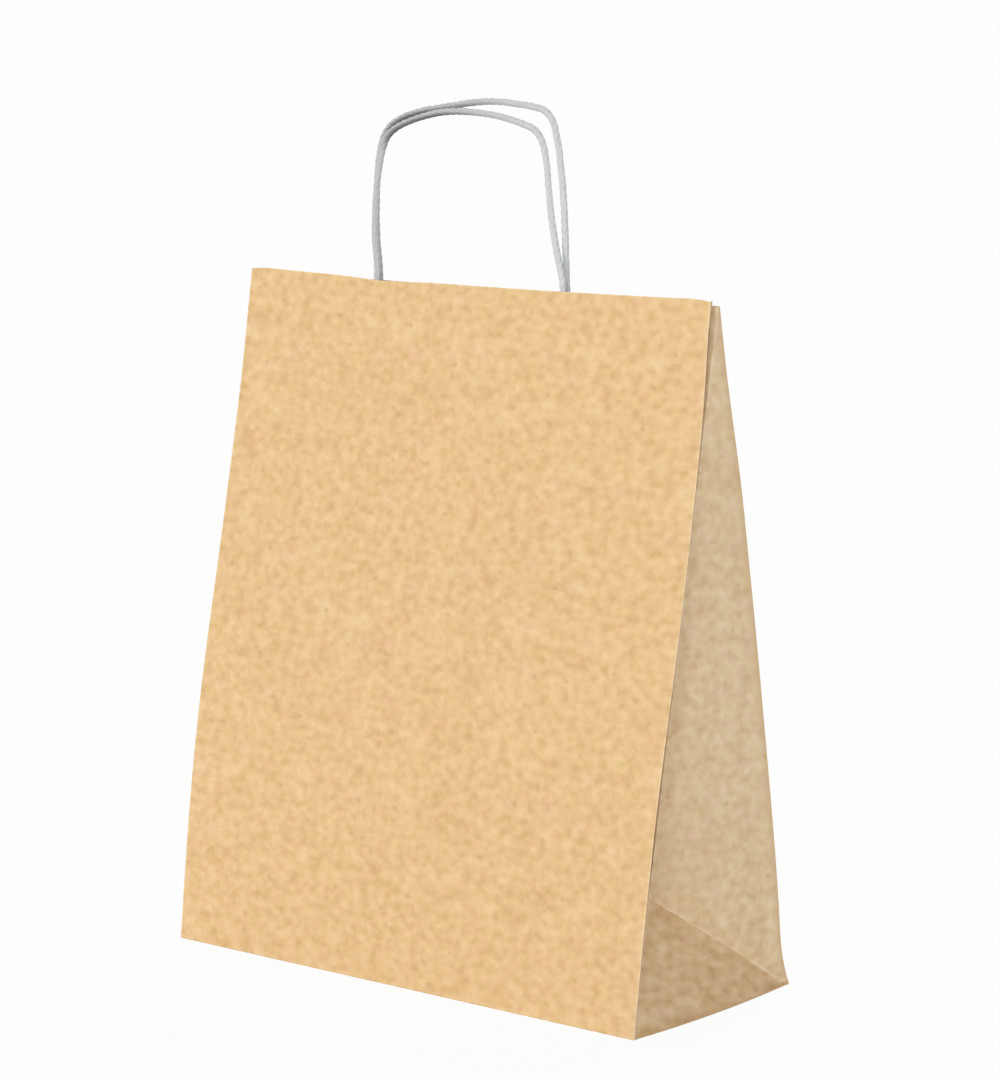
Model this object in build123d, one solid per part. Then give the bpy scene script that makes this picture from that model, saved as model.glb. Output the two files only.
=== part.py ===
from build123d import *
import math
import os

# Sizes in mm. Z is up, the front panel faces -Y and the width runs along X.
width = 250.0  # across the front
depth = 108.0  # front to back, at the base
height = 298.0  # wall, from the base fold to the rim, along the paper
peak_height = 52.0  # foot fold, from the base fold to its peak, along the paper
paper = 0.16  # kraft paper of about 120 g/m2
cord = 3.0  # diameter of the twisted paper cord
base_flap = 66.0  # tube end folded under to make the base
seam_width = 18.0  # glued overlap that closes the tube
seam_inset = 24.0  # seam to the panel's right edge
patch_width = 130.0  # strips that hold a handle
patch_height = 45.0
patch_drop = 4.0  # rim to the strips
patch_shift = -4.5  # handles sit a little left of the middle
cord_end = 38.0  # cord glued between the strips

# Clearances between pieces that move against each other.
clearance = 0.3
corner_gap = 0.6  # sharp folds, such as a panel's side edges
crease_gap = 0.3  # shallow folds inside a gusset
foot_gap = 1.0  # slanted folds between a foot fold and its wedges
crease_width = 17.0  # strip beyond the gusset's middle crease, at the rim
crease_lap = 5.0  # strip over the back half of the gusset
crease_offset = paper + clearance
peak_trim = 3.0  # cut off every tip that meets the others at the peak
wedge_trim = 13.0  # the same, up a wedge's long edge
lap_start = 17.0  # peak to the foot of the back half of the gusset

# Routes of the handles over the rim, foot to foot: across, and up from the rim.
front_route = [
    (-55.1, 25), (-53.7, 45), (-48.2, 60.8), (-33, 68.4), (-14, 72.6), (7, 72.9),
    (25, 69.6), (35.6, 63.8), (39.2, 47), (41.6, 26),
]
back_route = [
    (-58, 26), (-56.6, 47), (-51.4, 64), (-37, 71.8), (-18, 75.2), (4, 77.4),
    (23, 77), (36.8, 74.4), (42.2, 62), (45.2, 43), (47.2, 22),
]
front_feet = (-54.8, 47.2)
back_feet = (-57.6, 47.8)
arc_share = 0.45  # of the shorter run beside a turn, taken by the turn's arc
pivot_clear = 0.25  # handle pivot to the rim, outward and upward

half_width = width / 2
half_depth = depth / 2
fold_z = 5 * paper  # the walls rise from the top of the base's five plies
half_mouth = 3 * paper + cord + clearance / 2  # middle to a panel's outer face, at the rim
lean = math.asin((half_depth - half_mouth) / height)


def meet(a, reach_a, b, reach_b):
    """Point of the XZ plane at the two distances from a and b, left of the way from a to b."""
    way = b - a
    along = (reach_a**2 - reach_b**2 + way.length**2) / (2 * way.length)
    across = math.sqrt(reach_a**2 - along**2)
    ahead = way.normalized()
    return a + ahead * along + ahead.cross(Vector(0, 1, 0)) * across


# Corners of the folded walls: right side, front half.
foot = Vector(half_width, -half_depth, fold_z)
rim = foot + Vector(0, math.sin(lean), math.cos(lean)) * height
peak_up = (peak_height - half_depth * math.sin(lean)) / math.cos(lean)
peak_in = math.sqrt(peak_height**2 - peak_up**2)
peak = Vector(half_width - peak_in, 0, fold_z + peak_up)
rim_middle = Vector(rim.X, 0, rim.Z)
rim_reach = math.sqrt(half_depth**2 - half_mouth**2)
throat = meet(peak, height - peak_height, rim_middle, rim_reach)
gusset_rim = rim + Vector(0, 2 * paper + clearance, 0)  # the gusset's corner clears the panel


def other(point):
    """The same corner on the back panel."""
    return Vector(point.X, -point.Y, point.Z)


def toward(a, b, distance):
    return a + (b - a).normalized() * distance


def inset(corners, gaps, normal):
    """Corners of a flat outline with edge i, from corner i to the next, moved in by gap i."""
    moved = []
    for i, corner in enumerate(corners):
        before = normal.cross(corner - corners[i - 1]).normalized()
        after = normal.cross(corners[(i + 1) % len(corners)] - corner).normalized()
        size = before.cross(after).dot(normal)
        shift = after.cross(normal) * gaps[i - 1] + normal.cross(before) * gaps[i]
        moved.append(corner + shift * (1 / size))
    return moved


def sheet(corners, gaps, outward, sink=0.0):
    """Flat paper whose outer face lies in the corners' plane, or sink mm behind it."""
    normal = (corners[1] - corners[0]).cross(corners[2] - corners[0]).normalized()
    outline = inset(corners, gaps, normal)
    if normal.dot(outward) < 0:
        normal = normal * -1
    outline = [corner - normal * sink for corner in outline]
    face = Face(Wire.make_polygon(outline))
    return extrude(face, amount=paper, dir=normal * -1)


def clip_tip(corners, tip, cut_before, cut_after):
    """Outline with one corner replaced by two, that far along the edges before and after it."""
    point = corners[tip]
    near = toward(point, corners[tip - 1], cut_before)
    far = toward(point, corners[(tip + 1) % len(corners)], cut_after)
    return corners[:tip] + [near, far] + corners[tip + 1 :]


# Walls
left_foot = Vector(-foot.X, foot.Y, foot.Z)
left_rim = Vector(-rim.X, rim.Y, rim.Z)
front_panel = sheet(
    [left_foot, foot, rim, left_rim], [clearance, corner_gap, 0, corner_gap], Vector(0, -1, 0)
)
back_panel = mirror(front_panel, about=Plane.XZ)

# Side gusset, right side
outward = Vector(1, 0, 0)
foot_fold = sheet(
    clip_tip([foot, other(foot), peak], 2, peak_trim, peak_trim),
    [corner_gap, foot_gap, 0, foot_gap],
    outward,
)
front_wedge = sheet(
    clip_tip([foot, peak, rim], 1, peak_trim, wedge_trim),
    [foot_gap, 0, crease_gap, corner_gap],
    outward,
)
back_wedge = mirror(front_wedge, about=Plane.XZ)

# The gusset's two halves face each other. The loop is open beside the middle crease: a strip
# turns on the front half's crease and laps inside the back half, which ends short of it.
front_gusset = sheet(
    clip_tip([peak, throat, gusset_rim], 0, peak_trim, peak_trim),
    [0, crease_gap, 0, crease_gap],
    Vector(0, 1, 0),
)
crease_strip = sheet(
    [
        toward(peak, throat, 2 * peak_trim),
        throat,
        toward(throat, other(gusset_rim), crease_width),
    ],
    [crease_gap, 0, 0],
    Vector(0, -1, 0),
    sink=crease_offset,
)
back_gusset = sheet(
    [
        toward(peak, other(gusset_rim), lap_start),
        toward(throat, other(gusset_rim), crease_width - crease_lap),
        other(gusset_rim),
    ],
    [0, 0, crease_gap],
    Vector(0, -1, 0),
)

# Base, from the ground up: back flap and its corner folds, front flap and its own, end flaps
def ply(points, level):
    outline = Polygon(*points, align=None)
    return extrude(Pos(0, 0, level * paper) * outline, amount=paper, dir=(0, 0, 1))


def both_sides(solid):
    return Compound([solid, mirror(solid, about=Plane.YZ)])


flap_x = half_width - base_flap
flap_y = base_flap - half_depth
front_flap = ply(
    [(-half_width, -half_depth), (half_width, -half_depth), (flap_x, flap_y), (-flap_x, flap_y)], 2
)
front_corner = ply([(half_width, -half_depth), (flap_x, flap_y), (flap_x, -half_depth)], 3)
back_flap = ply(
    [(-half_width, half_depth), (half_width, half_depth), (flap_x, -flap_y), (-flap_x, -flap_y)], 0
)
back_corner = ply([(half_width, half_depth), (flap_x, -flap_y), (flap_x, half_depth)], 1)
end_flap = ply(
    [(half_width, -half_depth), (half_width, half_depth), (flap_x, half_depth), (flap_x, -half_depth)],
    4,
)

# Handles: a frame on the front panel's rim, X across, Y behind the outer face, Z up the wall
rim_frame = Plane(
    origin=(0, rim.Y, rim.Z), x_dir=(1, 0, 0), z_dir=(0, math.sin(lean), math.cos(lean))
)
cord_radius = cord / 2
cord_behind = 2 * paper + cord_radius
strip_top = -patch_drop
strip_middle = strip_top - patch_height / 2


def outer_strip():
    block = Box(patch_width, paper, patch_height)
    return rim_frame * Pos(patch_shift, 1.5 * paper, strip_middle) * block


def inner_strip(feet):
    """Strip glued on the outer strip, humped over the cord ends."""
    flat = Pos(patch_shift, 2.5 * paper) * Rectangle(patch_width, paper)
    profile = flat
    for x in feet:
        over = Pos(x, cord_behind) * Circle(cord_radius + paper)
        under = Pos(x, 2 * paper + cord_radius / 2) * Rectangle(cord + 2 * paper, cord_radius)
        profile = profile + over + under
    for x in feet:
        over = Pos(x, cord_behind) * Circle(cord_radius)
        under = Pos(x, 2 * paper + cord_radius / 2) * Rectangle(cord, cord_radius)
        profile = profile - over - under
    below = Pos(0, 2 * paper - cord) * Rectangle(2 * patch_width, 2 * cord)
    profile = profile - below
    block = extrude(profile, amount=patch_height)
    return rim_frame * Pos(0, 0, strip_top - patch_height) * block


def cord_ends(feet):
    ends = []
    for x in feet:
        length = cord_end + patch_drop
        rod = Cylinder(cord_radius, length, align=(Align.CENTER, Align.CENTER, Align.MAX))
        ends.append(rim_frame * Pos(x, cord_behind, -pivot_clear) * rod)
    return Compound(ends)


def round_path(points):
    """Straight runs through the points, joined by tangent arcs as large as the runs allow."""
    edges = []
    start = points[0]
    for before, corner, after in zip(points, points[1:], points[2:]):
        cut = arc_share * min((corner - before).length, (after - corner).length)
        arc_start = toward(corner, before, cut)
        arc_end = toward(corner, after, cut)
        edges.append(Edge.make_line(start, arc_start))
        edges.append(Edge.make_tangent_arc(arc_start, corner - before, arc_end))
        start = arc_end
    edges.append(Edge.make_line(start, points[-1]))
    return Wire(edges)


def handle(route, feet):
    """Arch of cord standing on the front rim, in an upright plane."""
    y = rim.Y + cord_behind * math.cos(lean)
    start = rim.Z + pivot_clear + clearance / 2
    points = [Vector(feet[0], y, start)]
    points += [Vector(x, y, rim.Z + up) for x, up in route]
    points += [Vector(feet[1], y, start)]
    path = round_path(points)
    section = Plane(origin=points[0], z_dir=points[1] - points[0]) * Circle(cord_radius)
    tube = sweep(section, path=path)
    expected = section.area * path.length
    print("handle", "length", round(path.length, 1), "volume", round(tube.volume / expected, 4))
    return tube


def seam():
    left = -half_width + seam_inset
    low = Vector(left, half_depth, fold_z)
    high = Vector(left, -rim.Y, rim.Z)
    across = Vector(seam_width, 0, 0)
    corners = [low, low + across, high + across, high]
    return sheet(corners, [clearance, 0, 0, 0], Vector(0, 1, 0), sink=-paper)


def to_back(shape):
    return mirror(shape, about=Plane.XZ)


pieces = {
    "base_front_flap": Compound([front_flap, *both_sides(front_corner).solids()]),
    "base_back_flap": Compound([back_flap, *both_sides(back_corner).solids()]),
    "base_right_end_flap": end_flap,
    "base_left_end_flap": mirror(end_flap, about=Plane.YZ),
    "front_panel": front_panel,
    "back_panel": back_panel,
    "seam_lap": seam(),
    "front_outer_strip": outer_strip(),
    "front_inner_strip": inner_strip(front_feet),
    "front_cord_ends": cord_ends(front_feet),
    "front_handle": handle(front_route, front_feet),
    "back_outer_strip": to_back(outer_strip()),
    "back_inner_strip": to_back(inner_strip(back_feet)),
    "back_cord_ends": to_back(cord_ends(back_feet)),
    "back_handle": to_back(handle(back_route, back_feet)),
}
gusset = {
    "foot_fold": foot_fold,
    "front_wedge": front_wedge,
    "front_gusset": front_gusset,
    "crease_strip": crease_strip,
    "back_wedge": back_wedge,
    "back_gusset": back_gusset,
}
for name, piece in gusset.items():
    pieces["right_" + name] = piece
    pieces["left_" + name] = mirror(piece, about=Plane.YZ)

os.makedirs("parts", exist_ok=True)
for name, piece in pieces.items():
    export_step(piece, f"parts/{name}.step")
print(len(pieces), "parts; rim", round(rim.Z, 3), "lean", round(math.degrees(lean), 3))
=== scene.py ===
import math

import bmesh
import bpy
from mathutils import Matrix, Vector, noise


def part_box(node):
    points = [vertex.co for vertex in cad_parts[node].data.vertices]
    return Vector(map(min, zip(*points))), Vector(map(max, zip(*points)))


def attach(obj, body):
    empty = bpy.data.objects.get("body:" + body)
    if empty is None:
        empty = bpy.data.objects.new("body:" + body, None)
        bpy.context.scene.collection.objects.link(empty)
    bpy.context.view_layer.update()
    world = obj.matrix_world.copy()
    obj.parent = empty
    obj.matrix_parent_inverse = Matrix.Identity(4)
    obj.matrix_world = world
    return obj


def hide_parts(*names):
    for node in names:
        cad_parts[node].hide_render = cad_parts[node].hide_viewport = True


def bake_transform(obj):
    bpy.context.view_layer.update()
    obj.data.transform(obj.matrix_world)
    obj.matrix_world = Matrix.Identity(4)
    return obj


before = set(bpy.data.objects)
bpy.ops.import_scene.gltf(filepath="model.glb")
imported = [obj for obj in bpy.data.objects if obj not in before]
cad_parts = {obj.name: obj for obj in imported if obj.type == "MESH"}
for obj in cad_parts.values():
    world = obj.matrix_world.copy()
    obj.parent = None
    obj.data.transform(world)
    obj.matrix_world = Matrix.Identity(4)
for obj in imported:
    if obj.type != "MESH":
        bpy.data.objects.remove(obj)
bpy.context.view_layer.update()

scene = bpy.context.scene
scene.view_settings.view_transform = "Standard"

# Camera and light
camera = {
    "azimuth": 39.01,  # degrees to the right of the front
    "elevation": 9.36,
    "distance": 1.6693,
    "aim": (0.01258, 0.0, 0.18635),
    "lens": 131.1,
    "clip": (0.05, 50),  # nearest and farthest that it sees
}
light = {
    "suns": {  # azimuth, elevation, strength, color, size in degrees
        "keyLight": (-12, 14, 0.96, (1.0, 0.95, 0.86), 16),
        "sideLight": (34, 10, 0.96, (0.85, 0.93, 1.0), 20),
        "rightLight": (96, 8, 0.35, (0.88, 0.94, 1.0), 30),
        "backLight": (196, 30, 1.1, (1.0, 0.98, 0.95), 40),
        "leftLight": (-104, 26, 0.7, (1.0, 0.98, 0.95), 40),
    },
    "sunDistance": 2,  # only where its symbol stands
    "roomColor": (1.0, 0.97, 0.92),
    "roomStrength": 0.385,
    "floorSize": 30.0,
    "floorColor": (0.88, 0.88, 0.88),
    "floorGlow": 0.95,  # share of plain white that the floor shows
}


def direction(azimuth, elevation):
    around, up = math.radians(azimuth), math.radians(elevation)
    return Vector((math.sin(around) * math.cos(up), -math.cos(around) * math.cos(up), math.sin(up)))


def addToScene(name, data):
    thing = bpy.data.objects.new(name, data)
    scene.collection.objects.link(thing)
    return thing


def aimAt(thing, towards):
    thing.rotation_euler = towards.to_track_quat("-Z", "Y").to_euler()


def addCamera():
    data = bpy.data.cameras.new("camera")
    data.lens = camera["lens"]
    data.clip_start, data.clip_end = camera["clip"]
    eye = addToScene("camera", data)
    away = direction(camera["azimuth"], camera["elevation"])
    eye.location = Vector(camera["aim"]) + away * camera["distance"]
    aimAt(eye, -away)
    scene.camera = eye


def addSun(name, azimuth, elevation, strength, color, size):
    data = bpy.data.lights.new(name, "SUN")
    data.energy, data.color, data.angle = strength, color, math.radians(size)
    sun = addToScene(name, data)
    away = direction(azimuth, elevation)
    sun.location = away * light["sunDistance"]
    aimAt(sun, -away)


# Node helpers
def newMaterial(name):
    material = bpy.data.materials.new(name)
    material.use_nodes = True
    material.node_tree.nodes.clear()
    return material, material.node_tree


def put(tree, kind, settings=None, **inputs):
    node = tree.nodes.new(kind)
    for key, value in (settings or {}).items():
        setattr(node, key, value)
    for key, value in inputs.items():
        socket = node.inputs[int(key[1:])] if key[1:].isdigit() else node.inputs[key.replace("_", " ")]
        if isinstance(value, bpy.types.NodeSocket):
            tree.links.new(value, socket)
        else:
            socket.default_value = value
    return node


def mathNode(tree, operation, a, b, clamp=False):
    settings = {"operation": operation, "use_clamp": clamp}
    return put(tree, "ShaderNodeMath", settings, i0=a, i1=b).outputs[0]


def mixColor(tree, factor, a, b, blend="MIX"):
    node = tree.nodes.new("ShaderNodeMix")
    node.data_type, node.blend_type, node.clamp_factor = "RGBA", blend, True
    # a Mix node keeps its colors in the inputs 6 and 7 and the output 2
    for index, value in ((0, factor), (6, a), (7, b)):
        if isinstance(value, bpy.types.NodeSocket):
            tree.links.new(value, node.inputs[index])
        else:
            node.inputs[index].default_value = value
    return node.outputs[2]


def seen(tree):
    # 1 where the camera, a mirror or glass looks at the surface
    path = tree.nodes.new("ShaderNodeLightPath")
    direct = mathNode(tree, "ADD", path.outputs["Is Camera Ray"], path.outputs["Is Glossy Ray"], True)
    return mathNode(tree, "ADD", direct, path.outputs["Is Transmission Ray"], True)


def addRoom():
    world = bpy.data.worlds.new("room")
    scene.world = world
    world.use_nodes = True
    tree = world.node_tree
    tree.nodes.clear()
    room = put(
        tree,
        "ShaderNodeBackground",
        Color=(*light["roomColor"], 1),
        Strength=light["roomStrength"],
    )
    white = put(tree, "ShaderNodeBackground", Color=(1, 1, 1, 1), Strength=1.0)
    mix = put(tree, "ShaderNodeMixShader", i0=seen(tree), i1=room.outputs[0], i2=white.outputs[0])
    put(tree, "ShaderNodeOutputWorld", Surface=mix.outputs[0])


def addFloor():
    sheet = bmesh.new()
    bmesh.ops.create_grid(sheet, x_segments=1, y_segments=1, size=light["floorSize"])
    mesh = bpy.data.meshes.new("floor")
    sheet.to_mesh(mesh)
    sheet.free()
    floor = addToScene("floor", mesh)
    material, tree = newMaterial("floorWhite")
    matt = put(tree, "ShaderNodeBsdfDiffuse", Color=(*light["floorColor"], 1))
    white = put(tree, "ShaderNodeEmission", Color=(1, 1, 1, 1), Strength=1.0)
    share = mathNode(tree, "MULTIPLY", seen(tree), light["floorGlow"])
    mix = put(tree, "ShaderNodeMixShader", i0=share, i1=matt.outputs[0], i2=white.outputs[0])
    put(tree, "ShaderNodeOutputMaterial", Surface=mix.outputs[0])
    mesh.materials.append(material)


addCamera()
for sunName, sunValues in light["suns"].items():
    addSun(sunName, *sunValues)
addRoom()
addFloor()
print("camera and light are set")

# Sizes of the bag, in metres
bag = {
    "height": 0.298,  # wall, from the base fold to the rim, along the paper
    "peakHeight": 0.052,  # foot fold, from the base fold to its peak
    "paper": 0.00016,
    "cord": 0.003,
    "foldReach": 0.0011,  # paper bends this far from a fold
    "foldDrop": 0.00035,  # and leaves the sharp corner by this much
    "foldWay": (0.8, 0.6),  # at an upright fold: in from the side, and back from the wall
    "curl": 1.6,  # the base fold is this many times rounder than an upright one
    "curlRows": (0.00078, 0.0006, 0.0004, 0.0002),  # below the base fold
    "wave": 0.00028,  # unevenness of the paper
    "weld": 0.000001,  # points of a sheet that lie closer than this are one
}
paper = bag["paper"]
height = bag["height"]
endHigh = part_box("base_right_end_flap")[1]  # the base's far corner, on its folds
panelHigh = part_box("front_panel")[1]
halfWidth, halfDepth, foldZ = endHigh.x, endHigh.y, endHigh.z
halfMouth = paper - panelHigh.y  # middle to a panel's outer face, at the rim
leanSin = (halfDepth - halfMouth) / height
leanCos = math.sqrt(1 - leanSin**2)
slantHeight = height - bag["peakHeight"]  # from the peak to the rim, along the paper


def smooth(low, high, value):
    share = min(max((value - low) / (high - low), 0.0), 1.0)
    return share * share * (3 - 2 * share)


def between(a, b, share):
    return a + (b - a) * share


def curlUnder(below):
    # how far the paper has left the wall's plane, below the base fold
    return min((below / foldZ) ** 2 * bag["foldDrop"] * bag["curl"], bag["foldReach"])


# Walls: side is -1 for the front and 1 for the back. Shares go from 0 in the middle or at the
# base to 1 at a side edge or at the rim.
wall = {
    "frontBow": (0.0018, 0.0018),  # upper half in and lower half out, then the whole out
    "backBow": 0.0004,
    "belly": 0.0006,  # the middle stands out from the side edges
    "cornerFrom": 0.45,  # the belly ends and the corners begin, as a share
    "frontPinch": 0.0003,  # the rim's corners lean in
    "backPinch": 0.0026,
    "pinchShares": (0.7, 0.93),  # where the pinch begins and is full
    "footPinch": 0.0018,  # the back edges are drawn in just above the base
    "footPinchShares": (0.6, 0.05),  # beyond this share across, and most at this share up
    "frontSpread": (0.0012, 0.0017),  # wider at the base, then half-way up
    "backSpread": (0.0009, 0.0006),
    "backFlare": 0.0012,  # the back's corners stand out at the base
    "flareShare": 0.07,
    "frontShift": (0.0004, -0.0008),  # to the right half-way up, and at the rim
    "shiftFrom": 0.8,
    "frontRise": (0.0015, 0.0007, -0.0004),  # rim's height across the front
    "backRise": (0.0003, 0.0007, -0.0018),
    "riseFrom": 0.75,
    "dip": (0.0009, -0.38, 0.14),  # of the front rim beside the left cord
    "corner": 0.0009,  # a rim's corner is lower
    "lowCornerFrom": 0.94,
    "waves": (17, 13, 2.3),  # per metre across and up, and between front and back
    "waveShares": (0.1, 0.9),  # full above the first, and fading above the second
    "waveFade": 0.7,
    "footRows": (0.0, 0.0003, 0.0008, 0.0016),  # close rows above the base fold
    "rimRows": (0.0008, 0.0003, 0.0),  # and below the rim
    "rowsFrom": 0.004,
    "rows": 64,
    "columns": 56,
}


def frontForm(u, t, high, corner):
    # how far the front stands out, spreads, rises and shifts at a point
    swell = math.sin(math.pi * high)
    upper, whole = wall["frontBow"]
    out = upper * math.sin(2 * math.pi * high) + whole * swell
    out -= wall["frontPinch"] * corner * smooth(*wall["pinchShares"], t)
    low, middle = wall["frontSpread"]
    spread = low * (1 - high) + middle * swell
    square, slope, level = wall["frontRise"]
    depth, centre, breadth = wall["dip"]
    rise = square * u * u + slope * u + level - depth * math.exp(-(((u - centre) / breadth) ** 2))
    rise -= wall["corner"] * smooth(wall["lowCornerFrom"], 1.0, abs(u))
    half, rim = wall["frontShift"]
    shift = half * swell + rim * smooth(wall["shiftFrom"], 1.0, t)
    return out, spread, rise, shift


def backForm(u, t, high, corner):
    swell = math.sin(math.pi * high)
    out = wall["backBow"] * swell
    out -= wall["backPinch"] * corner * smooth(*wall["pinchShares"], t)
    across, above = wall["footPinchShares"]
    near = high / above
    out -= wall["footPinch"] * smooth(across, 1.0, abs(u)) * near * math.exp(1 - near)
    low, middle = wall["backSpread"]
    spread = low + middle * swell + wall["backFlare"] * (1 - smooth(0.0, wall["flareShare"], high))
    square, slope, level = wall["backRise"]
    rise = square * u * u + slope * u + level
    return out, spread, rise, 0.0


def wallPoint(side, x, up, behind=0.0):
    t = up / height
    u = x / halfWidth
    high = max(t, 0.0)
    corner = smooth(wall["cornerFrom"], 1.0, abs(u))
    form = frontForm if side < 0 else backForm
    out, spread, rise, shift = form(u, t, high, corner)
    out += wall["belly"] * (1 - corner) * math.sin(math.pi * high) ** 2
    across, upwards, apart = wall["waves"]
    uneven = noise.noise(Vector((x * across, up * upwards, side * apart)))
    full, fading = wall["waveShares"]
    strength = smooth(0.0, full, t) * (1 - wall["waveFade"] * smooth(fading, 1.0, t))
    out += bag["wave"] * uneven * strength
    along = max(up, 0.0) + rise * smooth(wall["riseFrom"], 1.0, t)
    y = -halfDepth + leanSin * along - leanCos * (out - behind)
    z = foldZ + min(up, 0.0) + leanCos * along + leanSin * (out - behind)
    point = Vector((x + u * spread + shift, y, z))
    if up < 0:
        point.y += curlUnder(up)
    edge = halfWidth - abs(x)
    if edge < bag["foldReach"]:
        drop = (1 - edge / bag["foldReach"]) ** 2 * bag["foldDrop"]
        inwards, back = bag["foldWay"]
        point += Vector((-inwards * math.copysign(drop, x), back * drop, 0))
    if side > 0:
        point.y = -point.y
    return point


# Corners and creases of a side gusset: hand is 1 for the right and -1 for the left
gusset = {
    "peakShift": (-0.0032, -0.0011, -0.0009),  # the peak is pushed in, from where sharp folds put it
    "shiftFade": 0.1,  # above this share of the middle crease it is back on the line of sharp folds
    "peakLap": (0.0045, 0.0004),  # the front half runs on past the middle crease, and from just before it
    "peakLapRise": 0.25,  # up to this share of the crease
    "peakLapFade": (0.04, 0.4),  # shares of the lap in which it grows and shrinks
    "rimLap": 0.62,  # of a wedge's width, where the front half runs on behind it below the rim
    "rimLapFrom": 0.86,  # from this share of the slanted crease
    "rimLapFade": 0.3,
    "rimLapInside": 1.5,  # papers
    "tuck": 0.0012,  # the front's slanted crease is bowed in
    "creaseSag": 0.0019,  # of a foot crease, near the base's corner
    "sagShare": 0.1,  # and how far up the crease it is deepest
    "facing": (0.84, -0.54),  # the way a wedge faces: to its side, and away from its wall
    "pillow": 0.0006,  # fields stand out between their creases
    "frontPillow": -0.0003,
    "pillowWidth": 0.02,  # a narrower field stands out less
    "gussetPillow": 0.5,
    "rimInset": 0.0013,  # the corner's fold at the rim is this round
    "edgeStart": 0.0005,  # a line beside a panel's edge, this far outside it
    "edgeBend": 0.0045,  # and a breadth beside it
    "edgeSlant": 0.0098,  # its line leans in by this share of its height
    "slantStart": 0.0003,  # a line beside a slanted crease, this far inside it
    "slantBend": 0.005,
    "stripWidth": 0.017,  # of a crease strip at the rim
    "stripFrom": 0.03,  # share of the middle crease that it leaves free
    "stripBehind": 2.2,  # papers
    "stripFade": 0.15,
    "broadWear": 0.0012,  # a foot crease is worn more broadly near the base
    "broadShares": (0.4, 0.1),  # from the first share of its height down to the second
    "wedgeRows": (16, 56),  # below and above the peak
    "firstRow": 0.0006,
    # even steps, and the share next to a fold where they are closer
    "wedgeColumns": (18, 0.022),
    "halfColumns": (14, 0.02),
    "halfRows": (52, 0.004),
    "lapColumns": (4, 0.05),
    "rimLapRows": (16, 0.01),
    "peakLapRows": (20, 0.01),
    "stripColumns": (6, 0.05),
    "stripRows": (40, 0.01),
}


def meetPoint(a, reachA, b, reachB):
    way = b - a
    along = (reachA**2 - reachB**2 + way.length_squared) / (2 * way.length)
    across = math.sqrt(reachA**2 - along**2)
    ahead = way.normalized()
    return a + ahead * along + ahead.cross(Vector((0, 1, 0))) * across


peakUp = (bag["peakHeight"] - halfDepth * leanSin) / leanCos
peakIn = math.sqrt(bag["peakHeight"] ** 2 - peakUp**2)
peak = Vector((halfWidth - peakIn, 0, foldZ + peakUp))
rimMiddle = Vector((halfWidth, 0, foldZ + leanCos * height))
throat = meetPoint(peak, slantHeight, rimMiddle, math.sqrt(halfDepth**2 - halfMouth**2))
foldPeak = peak.copy()  # where sharp folds put the peak
peak = peak + Vector(gusset["peakShift"])


def mirrored(point, hand):
    return Vector((point.x * hand, point.y, point.z))


def edgePoint(side, hand, up):
    return wallPoint(side, hand * halfWidth, up)


def footCrease(side, hand, share):
    # from a foot corner to the peak
    point = between(edgePoint(side, hand, 0.0), mirrored(peak, hand), share)
    near = share / gusset["sagShare"]
    return point - Vector((0, 0, gusset["creaseSag"] * near * math.exp(1 - near)))


def slantCrease(side, hand, share):
    # from the peak to the rim's corner
    corner = edgePoint(side, hand, height) - Vector((0, side * gusset["rimInset"] * share, 0))
    point = between(mirrored(peak, hand), corner, share)
    if side < 0:
        point.x -= hand * gusset["tuck"] * math.sin(math.pi * share)
    return point


def middleCrease(hand, share):
    # from the peak to the rim; it meets the line of sharp folds a little above the peak
    point = between(foldPeak, throat, share)
    return mirrored(point + (peak - foldPeak) * (1 - smooth(0.0, gusset["shiftFade"], share)), hand)


foldSteps = (0.0, 0.18, 0.4, 0.7, 1.0)  # shares of the short stretch next to a fold
foldGap = 1.5  # the even steps keep this many stretches away from the fold


def steps(count, reach, ends=(True, True)):
    # even steps from 0 to 1, with closer ones next to the ends that are folds
    fine = [reach * share for share in foldSteps]
    values = [i / count for i in range(count + 1)]
    low = fine if ends[0] else [0.0]
    high = [1 - share for share in fine] if ends[1] else [1.0]
    inner = [v for v in values if low[-1] * foldGap < v < 1 - (1 - min(high)) * foldGap]
    return sorted(set(low + inner + high))


# Paper
kraft = {
    "color": (0.808, 0.553, 0.290),
    "light": (0.90, 0.665, 0.40),
    "dark": (0.67, 0.42, 0.20),
    "yellow": (0.82, 0.60, 0.285),
    "pink": (0.83, 0.53, 0.32),
    "speck": (0.50, 0.30, 0.14),
    "edgeTone": (0.97, 0.80, 0.56),
    "patterns": {  # patches per metre, detail and roughness
        "mottle": (250.0, 1.0, 0.4),
        "blotch": (105.0, 2.0, 0.55),
        "fibre": (1300.0, 1.0, 0.6),
        "hue": (200.0, 1.5, 0.5),
    },
    "specks": 80.0,  # per metre
    "layers": (  # pattern, where the color begins and is full, its strength, and the color
        ("hue", 0.53, 0.75, 0.5, "yellow"),
        ("hue", 0.49, 0.28, 0.8, "pink"),
        ("mottle", 0.49, 0.22, 0.68, "dark"),
        ("mottle", 0.51, 0.78, 0.74, "light"),
        ("blotch", 0.5, 0.2, 0.22, "dark"),
        ("blotch", 0.5, 0.8, 0.22, "light"),
        ("fibre", 0.55, 0.85, 0.06, "dark"),
        ("speck", 0.13, 0.03, 0.35, "speck"),
    ),
    "apart": (3.1, 1.7, 5.3),  # keeps the other patterns off the mottle
    "fibreStretch": (1.0, 1.0, 0.35),
    "wornFade": (0.2, 0.6, 0.8),  # the mottle, where worn light begins and is full, and its strength
    # share of the dark colour painted as shade where a mark is below 0
    "edgeShade": -0.55,
    "roughness": 0.88,
    "specular": 0.2,
    "bump": 0.00005,
    "bumpStrength": 0.7,
    "fibreRelief": 0.25,
}
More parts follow.
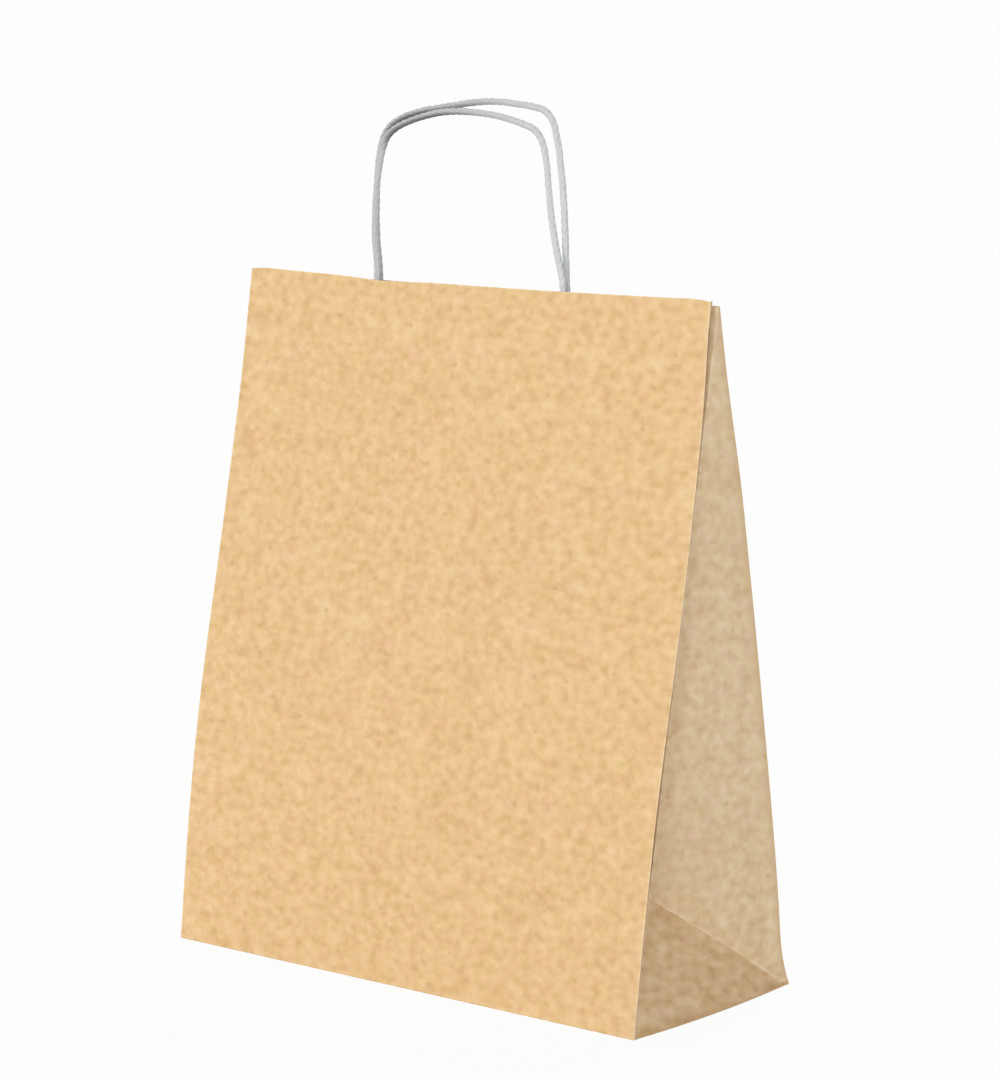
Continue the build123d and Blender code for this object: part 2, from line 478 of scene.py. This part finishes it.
# Walls, gussets and foot folds: tint, which paints a cooler light on the gussets and foot folds, contrast
# of the mottle, and scale of the patterns
tones = {
    "kraftPaper": ((0.987, 0.987, 0.97), 1.0, (0.86, 0.86, 1.12)),
    "kraftSidePaintedLight": ((0.96, 1.073, 1.27), 1.0, (1.02, 1.02, 1.0)),
    "kraftFootPaintedLight": ((0.96, 0.99, 1.09), 1.45, (0.8, 0.62, 1.05)),
}


def fade(tree, value, low, high, top=1.0):
    # 0 at low, top at high
    settings = {"Value": value, "From_Min": low, "From_Max": high, "To_Max": top}
    return put(tree, "ShaderNodeMapRange", **settings).outputs[0]


def patches(tree, place, scale, detail, roughness):
    settings = {"Vector": place, "Scale": scale, "Detail": detail, "Roughness": roughness}
    return put(tree, "ShaderNodeTexNoise", **settings).outputs["Fac"]


def finishMaterial(tree, color, relief, look):
    bump = put(tree, "ShaderNodeBump", Height=relief, Distance=look["bump"], Strength=look["bumpStrength"])
    settings = {"Base_Color": color, "Roughness": look["roughness"], "Normal": bump.outputs[0]}
    surface = put(tree, "ShaderNodeBsdfPrincipled", **settings)
    surface.inputs["Specular IOR Level"].default_value = look["specular"]
    put(tree, "ShaderNodeOutputMaterial", Surface=surface.outputs[0])


def kraftMaterial(name):
    paintedLightTint, contrast, grain = tones[name]
    material, tree = newMaterial(name)
    place = put(tree, "ShaderNodeTexCoord").outputs["Object"]
    place = put(tree, "ShaderNodeMapping", Vector=place, Scale=grain).outputs[0]
    drawn = put(tree, "ShaderNodeMapping", Vector=place, Scale=kraft["fibreStretch"]).outputs[0]
    moved = put(tree, "ShaderNodeMapping", Vector=place, Location=kraft["apart"]).outputs[0]
    places = {"mottle": place, "blotch": moved, "fibre": drawn, "hue": moved}
    shares = {kind: patches(tree, places[kind], *values) for kind, values in kraft["patterns"].items()}
    cells = put(tree, "ShaderNodeTexVoronoi", Vector=moved, Scale=kraft["specks"])
    shares["speck"] = cells.outputs["Distance"]
    color = (*kraft["color"], 1)
    for kind, start, full, strength, tone in kraft["layers"]:
        if kind == "mottle":
            strength *= contrast
        share = fade(tree, shares[kind], start, full, strength)
        color = mixColor(tree, share, color, (*kraft[tone], 1))
    fold = put(tree, "ShaderNodeAttribute", {"attribute_name": "fold"}).outputs["Fac"]
    rubbed = mathNode(tree, "MULTIPLY", fold, fade(tree, shares["mottle"], *kraft["wornFade"]), True)
    color = mixColor(tree, rubbed, color, (*kraft["edgeTone"], 1))
    # painted shade: darker where a mark is below 0, at the back edges and along the base of the foot folds
    paintedEdgeShade = mathNode(tree, "MULTIPLY", fold, kraft["edgeShade"], True)
    color = mixColor(tree, paintedEdgeShade, color, (*kraft["dark"], 1))
    # painted light: the tint lights each copy of the paper differently, cooler on the gussets and foot
    # folds
    color = mixColor(tree, 1.0, color, (*paintedLightTint, 1), "MULTIPLY")
    raised = mathNode(tree, "MULTIPLY", shares["fibre"], kraft["fibreRelief"])
    relief = mathNode(tree, "ADD", shares["mottle"], raised)
    finishMaterial(tree, color, relief, kraft)
    return material


paperMaterials = {tone: kraftMaterial(tone) for tone in tones}
sharpAngle = 40  # degrees, past which an edge isn't shaded smooth


def finishPiece(name, mesh, material, nodes):
    data = bpy.data.meshes.new(name)
    mesh.to_mesh(data)
    mesh.free()
    data.materials.append(material)
    data.polygons.foreach_set("use_smooth", [True] * len(data.polygons))
    data.set_sharp_from_angle(angle=math.radians(sharpAngle))
    piece = addToScene(name, data)
    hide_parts(*nodes)
    return piece


# Marks along the edges of the paper: strength, below 0 where shade is painted (a dark outline at the back
# edges and a dark line along the base of each foot fold), and reach
wearAndShade = {
    "frontEdge": (0.9, 0.0007),
    # painted shade: the back edges are darker where the paper turns away from the light
    "backEdge": (-1.0, 0.0018),
    "baseFold": (0.3, 0.0007),
    "rim": (0.5, 0.0004),
    "seam": (0.35, 0.0004),
    "footCrease": (0.6, 0.0006),
    "slantCrease": (0.6, 0.0006),
    "middleCrease": (0.7, 0.0006),
    "stripCrease": (0.5, 0.0007),
    # painted shade: a dark line along the base, where the foot fold meets the ground
    "foot": (-1.0, 0.0012),
    "flapFold": (0.7, 0.0007),
    "cutEnd": (0.4, 0.0004),
    "stripEnd": (0.3, 0.0004),
}


def mark(kind, distance, broader=0.0):
    strength, reach = wearAndShade[kind]
    return strength * math.exp(-((max(distance, 0.0) / (reach + broader)) ** 2))


def layPaper(mesh, columns, rows, place, outward, thick=paper):
    # one flat grid of paper, put in place point by point, then given its thickness inwards
    part = bmesh.new()
    bmesh.ops.create_grid(part, x_segments=len(columns) - 1, y_segments=len(rows) - 1, size=0.5)
    foldLayer = part.verts.layers.float.new("fold")
    for vertex in part.verts:
        across = columns[round((vertex.co.x + 0.5) * (len(columns) - 1))]
        along = rows[round((vertex.co.y + 0.5) * (len(rows) - 1))]
        vertex.co, vertex[foldLayer] = place(across, along)
    bmesh.ops.remove_doubles(part, verts=part.verts[:], dist=bag["weld"])
    part.normal_update()
    facing = sum((face.normal * face.calc_area() for face in part.faces), Vector())
    if facing.dot(outward) < 0:
        bmesh.ops.reverse_faces(part, faces=part.faces[:])
    bmesh.ops.solidify(part, geom=part.faces[:], thickness=thick)
    bmesh.ops.recalc_face_normals(part, faces=part.faces[:])
    sheet = bpy.data.meshes.new("part")
    part.to_mesh(sheet)
    part.free()
    mesh.from_mesh(sheet)
    bpy.data.meshes.remove(sheet)


def paperPiece(name, nodes, *layers, material="kraftPaper"):
    mesh = bmesh.new()
    for layer in layers:
        layPaper(mesh, *layer)
    return finishPiece(name, mesh, paperMaterials[material], nodes)


# Panels
def panelRows():
    start, count = wall["rowsFrom"], wall["rows"]
    rows = [-below for below in bag["curlRows"]] + list(wall["footRows"])
    rows += [start + (height - start) * i / count for i in range(count)]
    return rows + [height - below for below in wall["rimRows"]]


def addPanel(side, name, body):
    columns = steps(wall["columns"], bag["foldReach"] / (2 * halfWidth))

    def place(across, up):
        x = (across * 2 - 1) * halfWidth
        marks = [mark("baseFold", up), mark("rim", height - up)]
        if side < 0:
            marks.append(mark("frontEdge", halfWidth - abs(x)))
        return wallPoint(side, x, up), max(marks)

    layer = (columns, panelRows(), place, Vector((0, side, 0)))
    piece = paperPiece(name + "PanelPaper", [name + "_panel"], layer)
    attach(piece, body)


addPanel(-1, "front", "front_wall")
addPanel(1, "back", "back_wall")

# The glued lap of the tube, on the back panel
seam = {
    "edge": 0.0005,  # the lap's edges are pressed flat this far in
    "thickness": 0.9,  # papers
    "columns": (8, 0.03),
}
seamLow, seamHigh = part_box("seam_lap")


def addSeam():
    def place(across, up):
        x = between(seamLow.x, seamHigh.x, across)
        edge = min(x - seamLow.x, seamHigh.x - x)
        proud = paper * (1 + smooth(0, seam["edge"], edge)) / 2
        return wallPoint(1, x, up, -proud), mark("seam", edge)

    rows = panelRows()[len(bag["curlRows"]) :]
    layer = (steps(*seam["columns"]), rows, place, Vector((0, 1, 0)), paper * seam["thickness"])
    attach(paperPiece("seamLapPaper", ["seam_lap"], layer), "back_wall")


addSeam()
print("panels and seam are made")


# Gussets
def wedgeWidth(up):
    low = up / bag["peakHeight"]
    high = (height - up) / slantHeight
    return halfDepth * min(low, high)


def wedgeRows():
    low, high = gusset["wedgeRows"]
    foot = [bag["peakHeight"] * i / low for i in range(1, low + 1)]
    above = [between(foot[-1], height, i / high) for i in range(1, high + 1)]
    return [0.0, gusset["firstRow"]] + foot + above


def wedgeFacing(side, hand):
    out, back = gusset["facing"]
    return Vector((out * hand, back * side, 0))


def acrossFold(way, along):
    return (way - along * way.dot(along)).normalized()


def addWedge(side, hand, name):
    pillow = gusset["pillow"] if side > 0 else gusset["frontPillow"]

    def place(share, up):
        width = wedgeWidth(up)
        edge = edgePoint(side, hand, up)
        low = up / bag["peakHeight"]
        if low <= 1:
            crease = footCrease(side, hand, low)
        else:
            crease = slantCrease(side, hand, (up - bag["peakHeight"]) / slantHeight)
        bulge = pillow * math.sin(math.pi * share) * min(width / gusset["pillowWidth"], 1.0)
        point = between(edge, crease, share) + wedgeFacing(side, hand) * bulge
        distance = share * width
        edgeTone = 0.0
        if side > 0 or low <= 1:
            # a foot crease is broadly worn near the base
            broad = gusset["broadWear"] * smooth(*gusset["broadShares"], low)
            edgeTone = mark("footCrease", width - distance, broad)
        if side > 0:
            # painted shade: a dark outline along the back edge
            edgeTone += mark("backEdge", distance)
        return point, edgeTone

    layer = (steps(*gusset["wedgeColumns"]), wedgeRows(), place, Vector((hand, -side / 2, 0)))
    piece = paperPiece(name + "WedgePaper", [name + "_wedge"], layer, material="kraftSidePaintedLight")
    foot = Vector((halfWidth * hand, side * halfDepth, foldZ))
    along = Vector((0, -side * leanSin, leanCos))
    inwards = acrossFold(mirrored(peak, hand) - foot, along)
    # the edge is bowed, so the way in across the fold is tilted along the wall
    inwards -= along * gusset["edgeSlant"]
    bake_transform(piece)


def addGussetHalf(side, hand, name):
    def place(share, rise):
        point = between(slantCrease(side, hand, rise), middleCrease(hand, rise), share)
        point.y -= side * gusset["pillow"] * gusset["gussetPillow"] * math.sin(math.pi * share) * rise
        width = halfDepth * rise
        marks = [mark("middleCrease", (1 - share) * width), mark("rim", (1 - rise) * slantHeight)]
        if side > 0:
            marks.append(mark("slantCrease", share * width))
        return point, max(marks)

    def pastMiddle(share, rise):
        # carries on past the middle crease, above the peak
        ahead = (mirrored(throat, hand) - slantCrease(side, hand, 1.0)).normalized()
        breadth, before = gusset["peakLap"]
        grows, shrinks = gusset["peakLapFade"]
        breadth *= min(rise / grows, (1 - rise) / shrinks, 1.0)
        return middleCrease(hand, rise * gusset["peakLapRise"]) + ahead * (breadth * share - before), 0.0

    def behindWedge(share, rise):
        # runs on behind the wedge, below the rim's corner
        share *= gusset["rimLap"] * min(rise / gusset["rimLapFade"], 1.0)
        rise = between(gusset["rimLapFrom"], 1.0, rise)
        crease = slantCrease(side, hand, rise)
        edge = edgePoint(side, hand, between(bag["peakHeight"], height, rise))
        inside = wedgeFacing(side, hand) * paper * -gusset["rimLapInside"]
        return between(crease, edge, share) + inside, 0.0

    facing = Vector((0, -side, 0))
    columns, rows = steps(*gusset["halfColumns"]), steps(*gusset["halfRows"], (False, True))
    layers = [(columns, rows, place, facing)]
    if side < 0:
        columns = steps(*gusset["lapColumns"])
        sideways = Vector((hand, -side / 2, 0))
        layers.append((columns, steps(*gusset["rimLapRows"]), behindWedge, sideways))
        layers.append((columns, steps(*gusset["peakLapRows"]), pastMiddle, facing))
    piece = paperPiece(name + "GussetPaper", [name + "_gusset"], *layers, material="kraftSidePaintedLight")
    start = slantCrease(side, hand, 0.0)
    along = (slantCrease(side, hand, 1.0) - start).normalized()
    inwards = acrossFold(mirrored(throat, hand) - start, along)
    start += inwards * gusset["slantStart"]
    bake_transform(piece)


def addCreaseStrip(hand, name):
    # laps behind the back half, from the middle crease
    def place(share, rise):
        top = middleCrease(hand, 1.0)
        far = between(top, slantCrease(1, hand, 1.0), gusset["stripWidth"] / halfDepth)
        low = middleCrease(hand, gusset["stripFrom"])
        point = between(between(low, top, rise), between(low, far, rise), share)
        point.y += paper * gusset["stripBehind"] * smooth(0.0, gusset["stripFade"], share * rise)
        return point, mark("stripCrease", share * gusset["stripWidth"] * rise)

    columns, rows = steps(*gusset["stripColumns"]), steps(*gusset["stripRows"], (False, True))
    layer = (columns, rows, place, Vector((0, -1, 0)))
    piece = paperPiece(name + "CreasePaper", [name + "_crease_strip"], layer, material="kraftSidePaintedLight")
    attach(piece, name + "_crease_strip")


# Foot folds: the triangle at each end of the base
footFold = {
    "lap": 0.00406,  # runs on behind the wedges
    "lapShare": 0.8,  # but never past this share of its own breadth
    "tongue": 0.00392,  # the lap ends this far beyond the peak
    "tongueAim": 0.1,  # and carries on the way that the last share of the fold has
    "bow": 0.0026,  # the base's ends bow out
    "facing": (0.8, 0.5),  # to its side, and up
    "pillow": 0.00078,
    "drop": 0.00021,  # the base fold is rounded by this much
    "narrowest": 0.00001,
    "columns": (44, 0.01),
    "rows": (30, 0.02),
    "curlRows": (0.00078, 0.0005, 0.0002),  # below the base fold
    "tongueRows": (0.25, 0.5, 0.75, 1.0),
    "bend": 0.0035,  # a height above the base
}


def bowOut(share):
    return footFold["bow"] * (1 - (share * 2 - 1) ** 2)


def addFootFold(hand, name):
    peakHeight = bag["peakHeight"]
    tongue = footFold["tongue"] / peakHeight
    out, lift = footFold["facing"]
    backwards = Vector((0, 1, 0))

    def beyondPeak(rise):
        aim = footFold["tongueAim"]
        below = (footCrease(-1, hand, 1 - aim) + footCrease(1, hand, 1 - aim)) / 2
        return (mirrored(peak, hand) - below) * (rise - 1) / aim

    def place(share, rise):
        up = min(max(rise, 0.0), 1.0)
        low, high = footCrease(-1, hand, up), footCrease(1, hand, up)
        middle = (low + high) / 2
        reach = (high - low) / 2
        lap = min(footFold["lap"], footFold["lapShare"] * up * halfDepth)
        breadth = reach.length + lap * min((1 + tongue - rise) / tongue, 1.0)
        turned = share * 2 - 1  # -1 at the front and 1 at the back
        point = middle + backwards * turned * breadth
        if reach.length > 0:
            point += (reach.normalized() - backwards) * turned * reach.length
        if rise > 1:
            point += beyondPeak(rise)
        inside = min(abs(turned) * breadth / max(reach.length, footFold["narrowest"]), 1.0)
        swell = math.cos(math.pi / 2 * inside) * math.sin(math.pi * up)
        point += Vector((out * hand, 0, lift)) * footFold["pillow"] * swell
        drop = footFold["drop"] * max(1 - up * peakHeight / bag["foldReach"], 0.0) ** 2
        point.x += hand * (bowOut(share) * (1 - up) ** 2 - drop)
        if rise < 0:
            below = -rise * peakHeight
            point.z -= below
            point.x -= hand * curlUnder(below)
        # painted shade along the base of the foot fold
        edgeTone = mark("foot", up * peakHeight)
        if rise <= 1:
            edgeTone += mark("footCrease", reach.length - abs(turned) * breadth)
        return point, edgeTone

    low = [-below / peakHeight for below in footFold["curlRows"]]
    high = [1 + tongue * share for share in footFold["tongueRows"]]
    rows = low + steps(*footFold["rows"], (True, False)) + high
    layer = (steps(*footFold["columns"]), rows, place, Vector((out * hand, 0, lift)))
    piece = paperPiece(name + "FootFoldPaper", [name + "_foot_fold"], layer, material="kraftFootPaintedLight")
    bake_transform(piece)


for hand, end in ((1, "right"), (-1, "left")):
    for side, wallName in ((-1, "front"), (1, "back")):
        addWedge(side, hand, end + "_" + wallName)
        addGussetHalf(side, hand, end + "_" + wallName)
    addCreaseStrip(hand, end)
    addFootFold(hand, end)
print("gussets are made")

# Base: flaps folded from the tube's end
base = {
    "flap": 0.066,  # tube end folded under
    "sag": 0.0003,  # a flap comes down to the ground beside the one it overlaps
    "sagFrom": (-0.014, -0.03),  # between these places in front of the middle
    "cornerLength": 0.05,  # of a corner's fold
    "endTaper": 0.995,  # an end flap is narrower at its free end
    "flapColumns": (48, 0.01),
    "flapRows": (24, 0.02),
    "cornerSteps": (20, 0.02),
    "endColumns": (24, 0.01),
    "endRows": (16, 0.02),
}


def footCorner(side, hand, z):
    corner = edgePoint(side, hand, 0.0)
    return Vector((corner.x - hand * paper, corner.y - side * paper, z))


def flapMark(run):
    return max(mark("flapFold", run * base["flap"]), mark("cutEnd", (1 - run) * base["flap"]))


def addBaseFlap(side, name, level):
    tip = base["flap"] - halfDepth
    z = level * paper + paper
    inner = halfWidth - base["flap"]
    facing = Vector((0, 0, 1))

    def flapHeight(y):
        if side > 0:
            return z
        return z - base["sag"] * smooth(*base["sagFrom"], y)

    def flap(share, run):
        edge = between(footCorner(side, -1, z), footCorner(side, 1, z), share)
        free = Vector((between(-inner, inner, share), -side * tip, z))
        point = between(edge, free, run)
        point.z = flapHeight(point.y)
        return point, flapMark(run)

    def corner(hand):
        def place(share, run):
            a, b = footCorner(side, hand, z), Vector((hand * inner, -side * tip, z))
            c = Vector((hand * inner, side * halfDepth - side * paper, z))
            point = between(between(a, b, share), between(a, c, share), run)
            point.z = flapHeight(point.y) + paper
            return point, mark("flapFold", run * share * base["cornerLength"])

        return (steps(*base["cornerSteps"]), steps(*base["cornerSteps"]), place, facing)

    columns, rows = steps(*base["flapColumns"]), steps(*base["flapRows"])
    layers = [(columns, rows, flap, facing), corner(1), corner(-1)]
    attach(paperPiece(name + "FlapPaper", ["base_" + name + "_flap"], *layers), "base")


def addEndFlap(hand, name):
    def place(share, run):
        outer = between(footCorner(-1, hand, foldZ), footCorner(1, hand, foldZ), share)
        outer.x += hand * bowOut(share)
        y = between(-halfDepth, halfDepth, share) * base["endTaper"]
        free = Vector((hand * (halfWidth - base["flap"]), y, foldZ))
        return between(outer, free, run), flapMark(run)

    layer = (steps(*base["endColumns"]), steps(*base["endRows"]), place, Vector((0, 0, 1)))
    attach(paperPiece(name + "EndFlapPaper", ["base_" + name + "_end_flap"], layer), "base")


addBaseFlap(-1, "front", 2)
addBaseFlap(1, "back", 0)
addEndFlap(1, "right")
addEndFlap(-1, "left")
print("base is made")

# Handles and the strips that hold them
handles = {
    "front": {
        "side": -1,
        "feet": (-0.0532, 0.0482),
        "route": [
            (-0.0554, 0.018), (-0.0542, 0.038), (-0.0512, 0.0537), (-0.047, 0.0626),
            (-0.0326, 0.0685), (-0.014, 0.0727), (0.009, 0.072), (0.0245, 0.069),
            (0.0353, 0.0656), (0.0392, 0.0535), (0.0402, 0.038), (0.0438, 0.0175),
        ],
    },
    "back": {
        "side": 1,
        "feet": (-0.0558, 0.0464),
        "route": [
            (-0.0578, 0.02), (-0.0572, 0.0417), (-0.0549, 0.0572), (-0.0496, 0.0655),
            (-0.0365, 0.0709), (-0.0177, 0.0739), (0.0042, 0.0773), (0.0249, 0.076),
            (0.0373, 0.074), (0.0415, 0.0636), (0.0446, 0.0415), (0.0458, 0.0203),
        ],
    },
}
strip = {
    "width": 0.130,
    "height": 0.045,
    "drop": 0.004,  # below the rim
    "shift": -0.0045,  # to the right of the middle
    "columns": 40,
    "rows": 24,
    "hump": (0.0007, 0.0036),  # of the inner strip over a cord: half its flat top, and half its foot
    "humpEnd": (0.0035, 0.0005),  # below and above the cord's end
    "humpColumns": (7, 0.0006),  # close columns on each side of a cord, and their gap
}
twist = {
    "strands": 4,
    "pitch": 0.014,
    "radius": 0.00092,
    "offset": 0.00058,
    "gap": 0.0006,  # between the points of a strand
    "search": 4,  # points before and after the last one found
    "buried": 0.038,  # glued in below the strips' top
    "buriedAt": (0.028, 0.014, 0.005),  # below the rim
    "rise": 0.003,  # straight above the rim
    "bendBelow": 0.003,  # a distance below the rim
    "bend": 0.0062,
}
cordLook = {
    "color": (0.74, 0.745, 0.755),
    "cloudColor": (0.60, 0.605, 0.62),
    # the colour that the painted shade mixes in
    "shadeColor": (0.16, 0.165, 0.18),
    "cloud": (320.0, 3.0, 0.6),  # patches per metre, detail and roughness
    "fibre": (2400.0, 2.0, 0.6),
    "roughness": 0.8,
    "specular": 0.25,
    "bump": 0.00008,
    "bumpStrength": 0.8,
    "groove": (0.26, 0.47, 0.18),  # painted shade in the grooves between strands: dark and light radius as shares of the cord, and how dark
    "left": (0.03, -0.04, 0.2),  # the cord is greyer from one x to the other, by this much
    "under": (-0.4, 0.65),  # painted shade under the top of the loop: how far a surface looks down, where it begins and is full
    "bendBelow": (0.022, 0.008),  # below the top of the loop, where it begins and is full
    "bendShade": (0.2, 0.8),  # everywhere, and more of it on the left
}
cordMiddle = 2 * paper + bag["cord"] / 2  # behind the panel's outer face


def cordMaterial():
    material, tree = newMaterial("twistedCord")
    place = put(tree, "ShaderNodeTexCoord").outputs["Object"]
    cloud = patches(tree, place, *cordLook["cloud"])
    fibre = patches(tree, place, *cordLook["fibre"])
    shade = put(tree, "ShaderNodeAttribute", {"attribute_name": "shade"}).outputs["Fac"]
    color = mixColor(tree, cloud, (*cordLook["color"], 1), (*cordLook["cloudColor"], 1))
    color = mixColor(tree, shade, color, (*cordLook["shadeColor"], 1))
    relief = mathNode(tree, "ADD", cloud, fibre)
    finishMaterial(tree, color, relief, cordLook)
    return material


twistedCord = cordMaterial()


def centreLine(name, points):
    # the route's smooth line, read back from its own spline
    curve = bpy.data.curves.new(name, "CURVE")
    curve.dimensions = "3D"
    spline = curve.splines.new("NURBS")
    spline.points.add(len(points) - 1)
    for knot, point in zip(spline.points, points):
        knot.co = (*point, 1)
    spline.order_u = 3
    spline.use_endpoint_u = True
    spline.resolution_u = 24
    thing = addToScene(name, curve)
    bpy.context.view_layer.update()
    mesh = bpy.data.meshes.new_from_object(thing)
    line = [vertex.co.copy() for vertex in mesh.vertices]
    bpy.data.objects.remove(thing)
    bpy.data.curves.remove(curve)
    bpy.data.meshes.remove(mesh)
    return line


def evenLine(line, gap):
    # the same line with points a set distance apart
    length = sum((b - a).length for a, b in zip(line, line[1:]))
    count = round(length / gap)
    points = [line[0]]
    travelled = 0.0
    index = 0
    for step in range(1, count):
        wanted = length * step / count
        while travelled + (line[index + 1] - line[index]).length < wanted:
            travelled += (line[index + 1] - line[index]).length
            index += 1
        share = (wanted - travelled) / (line[index + 1] - line[index]).length
        points.append(between(line[index], line[index + 1], share))
    return points + [line[-1]], length


def strandTube(name, points, length, strand):
    curve = bpy.data.curves.new(name, "CURVE")
    curve.dimensions = "3D"
    curve.bevel_depth = twist["radius"]
    curve.bevel_resolution = 1
    curve.use_fill_caps = True
    spline = curve.splines.new("POLY")
    spline.points.add(len(points) - 1)
    last = len(points) - 1
    across = Vector((0, 1, 0))  # the route lies nearly in one upright plane
    for i, knot in enumerate(spline.points):
        ahead = (points[min(i + 1, last)] - points[max(i - 1, 0)]).normalized()
        beside = ahead.cross(across).normalized()
        other = ahead.cross(beside)
        turn = 2 * math.pi * (strand / twist["strands"] + i / last * length / twist["pitch"])
        shift = beside * math.cos(turn) + other * math.sin(turn)
        knot.co = (*(points[i] + shift * twist["offset"]), 1)
    thing = addToScene(name, curve)
    bpy.context.view_layer.update()
    tube = bpy.data.meshes.new_from_object(thing)
    bpy.data.objects.remove(thing)
    bpy.data.curves.remove(curve)
    return tube


def nearestPoint(points, place, last):
    # neighbours in a tube are neighbours on the line, so the search starts at the last place
    def gap(i):
        return (points[i] - place).length_squared

    near = range(max(last - twist["search"], 0), min(last + twist["search"] + 1, len(points)))
    found = min(near, key=gap)
    if (points[found] - place).length > bag["cord"]:
        found = min(range(len(points)), key=gap)
    return found


def shadeCord(mesh, points):
    shadeLayer = mesh.verts.layers.float.new("shade")
    dark, light, grooveShade = cordLook["groove"]
    right, left, leftShade = cordLook["left"]
    begins, full = cordLook["bendBelow"]
    bendShade, moreShade = cordLook["bendShade"]
    top = max(point.z for point in points)
    found = 0
    for vertex in mesh.verts:
        found = nearestPoint(points, vertex.co, found)
        away = vertex.co - points[found]
        groove = 1 - smooth(dark * bag["cord"], light * bag["cord"], away.length)
        leftward = smooth(right, left, points[found].x)
        bend = smooth(top - begins, top - full, points[found].z)
        under = smooth(*cordLook["under"], -away.normalized().z) * bend
        # painted shade in the grooves and under the top of the loop, more of it on the left, plus a grey
        # that grows towards the left
        shade = grooveShade * groove + leftShade * leftward + under * (bendShade + moreShade * leftward)
        vertex[shadeLayer] = min(shade, 1.0)


def twistedMesh(name, line):
    points, length = evenLine(line, twist["gap"])
    mesh = bmesh.new()
    for strand in range(twist["strands"]):
        tube = strandTube(name, points, length, strand)
        mesh.from_mesh(tube)
        bpy.data.meshes.remove(tube)
    shadeCord(mesh, points)
    return mesh, length


def addHandle(name):
    side = handles[name]["side"]
    leftFoot, rightFoot = handles[name]["feet"]
    rimUp = foldZ + leanCos * height
    plane = wallPoint(side, 0.0, height, cordMiddle).y
    depths = [twist["buried"] + strip["drop"], *twist["buriedAt"]]
    first = [wallPoint(side, leftFoot, height - below, cordMiddle) for below in depths]
    last = [wallPoint(side, rightFoot, height - below, cordMiddle) for below in reversed(depths)]
    start = Vector((leftFoot, plane, rimUp + twist["rise"]))
    stop = Vector((rightFoot, plane, rimUp + twist["rise"]))
    route = [Vector((x, plane, rimUp + up)) for x, up in handles[name]["route"]]
    line = centreLine(name + "Line", first + [start] + route + [stop] + last)
    mesh, length = twistedMesh(name + "Cord", line)
    nodes = [name + "_handle", name + "_cord_ends"]
    piece = finishPiece(name + "TwistedCord", mesh, twistedCord, nodes)
    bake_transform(piece)
    print(name, "handle is", round(length * 1000), "mm of cord")


def addStrips(name):
    side, feet = handles[name]["side"], handles[name]["feet"]
    wide = strip["width"]
    left = strip["shift"] - wide / 2
    top = height - strip["drop"]
    bottom = top - strip["height"]
    cordFoot = top - twist["buried"]
    count, gap = strip["humpColumns"]
    columns = {i / strip["columns"] for i in range(strip["columns"] + 1)}
    for x in feet:
        columns.update((x - left + i * gap) / wide for i in range(-count, count + 1))
    columns = sorted(columns)
    rows = [i / strip["rows"] for i in range(strip["rows"] + 1)]
    facing = Vector((0, -side, 0))

    def onWall(share, run, behind):
        x, up = left + share * wide, between(bottom, top, run)
        return wallPoint(side, x, up, behind), mark("stripEnd", min(share, 1 - share) * wide)

    def outer(share, run):
        return onWall(share, run, paper * 2)

    def inner(share, run):
        x, up = left + share * wide, between(bottom, top, run)
        below, above = strip["humpEnd"]
        hump = max(1 - smooth(*strip["hump"], abs(x - foot)) for foot in feet)
        hump *= smooth(cordFoot - below, cordFoot + above, up)
        return onWall(share, run, paper * 3 + hump * bag["cord"])

    for place, word in ((outer, "Outer"), (inner, "Inner")):
        nodes = [name + "_" + word.lower() + "_strip"]
        piece = paperPiece(name + word + "StripPaper", nodes, (columns, rows, place, facing))
        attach(piece, name + "_wall")


for name in handles:
    addHandle(name)
    addStrips(name)
print("handles and strips are made")
